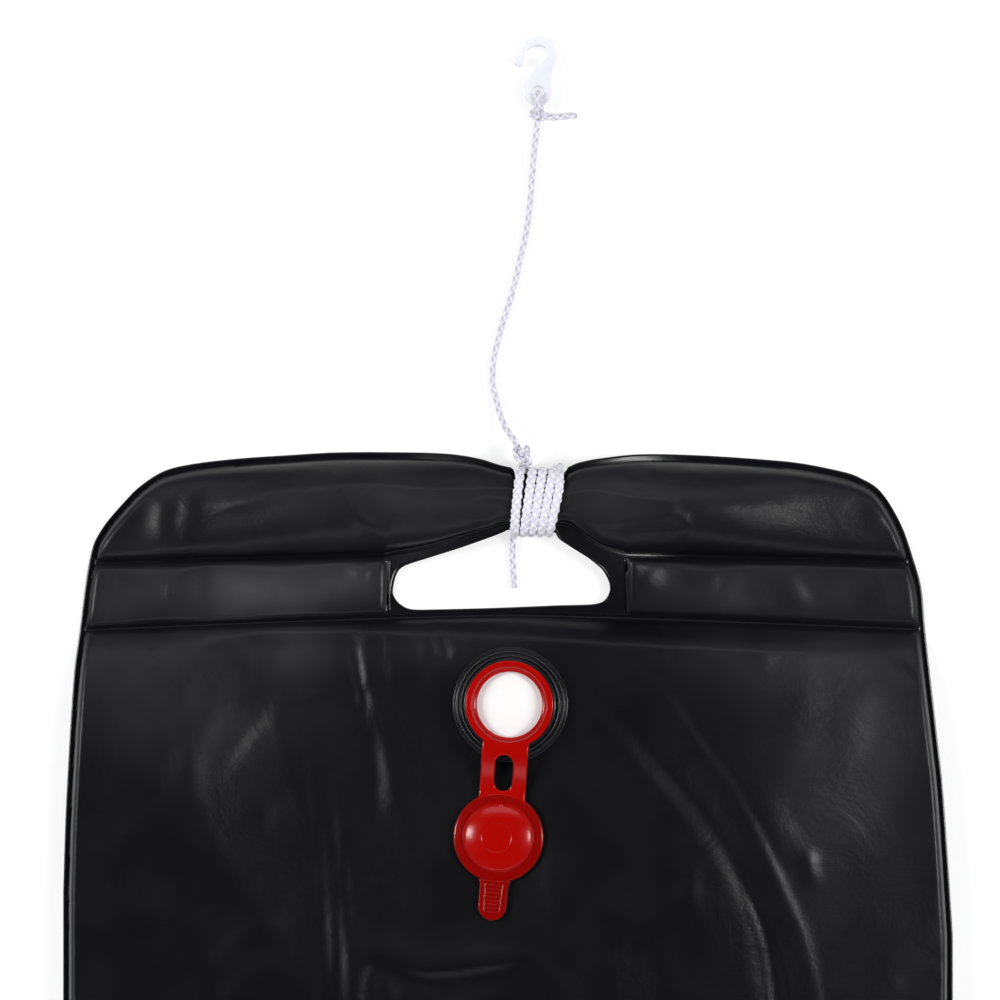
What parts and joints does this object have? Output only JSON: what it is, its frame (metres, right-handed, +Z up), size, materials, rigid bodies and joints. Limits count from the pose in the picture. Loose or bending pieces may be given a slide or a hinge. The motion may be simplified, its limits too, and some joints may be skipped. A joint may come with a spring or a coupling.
{
  "type": "camp shower bag",
  "caption": "Flat black PVC camp shower bag with a hand slot, a red swivelling filler cap, a bottom outlet tube, and a white cord wound round the gathered handle that ends in a hang hook.",
  "frame": {"origin": "middle of the bag's bounding box, on the surface that the bag lies on; the cord and its hook are left out of the box", "axes": "+X to the right of the bag seen from its filler side, +Y from the outlet towards the handle and the hook, +Z up out of the front sheet"},
  "size_m": [0.4, 0.8124, 0.0236],
  "materials": {
    "black_sheet": "satin welded PVC sheet",
    "black_moulding": "glossy black moulding",
    "red_plastic": "glossy red moulding",
    "white_plastic": "plain white moulding",
    "hook_plastic": "milky white moulding",
    "white_cord": "braided white cord"
  },
  "bodies": {
    "bag": {"front_panel": "black_sheet", "back_panel": "black_sheet", "handle_tube": "black_moulding", "filler_collar": "black_moulding", "valve_seat": "white_plastic", "outlet_tube": "black_moulding", "handle_winding": "white_cord", "handle_knot": "white_cord", "handle_cord_end": "white_cord", "cord_free": "white_cord", "hook_knot": "white_cord", "hook_cord_end": "white_cord"},
    "ring": {"cap_ring": "red_plastic"},
    "cap": {"filler_cap": "red_plastic"},
    "flap": {"inlet_flap": "white_plastic"},
    "hook": {"hang_hook": "hook_plastic"}
  },
  "joints": [
    {"name": "ring_swivel", "type": "hinge", "parent": "bag", "child": "ring", "pos_m": [0.00047, 0.20006, 0.02227], "axis": [-0.061, 0.0349, 0.9975], "range_deg": [-90, 90]},
    {"name": "cap_fold", "type": "hinge", "parent": "ring", "child": "cap", "pos_m": [-0.00196, 0.17026, 0.01956], "axis": [-0.9942, 0.0871, -0.0639], "range_deg": [0, 180]},
    {"name": "flap_hinge", "type": "hinge", "parent": "bag", "child": "flap", "pos_m": [0.00228, 0.21598, 0.01591], "axis": [0.9942, -0.0871, 0.0639], "range_deg": [0, 22]},
    {"name": "hook_swing", "type": "hinge", "parent": "bag", "child": "hook", "pos_m": [0.0135, 0.4746, 0.0047], "axis": [0, 0.1186, 0.9929], "range_deg": [-60, 60]}
  ]
}
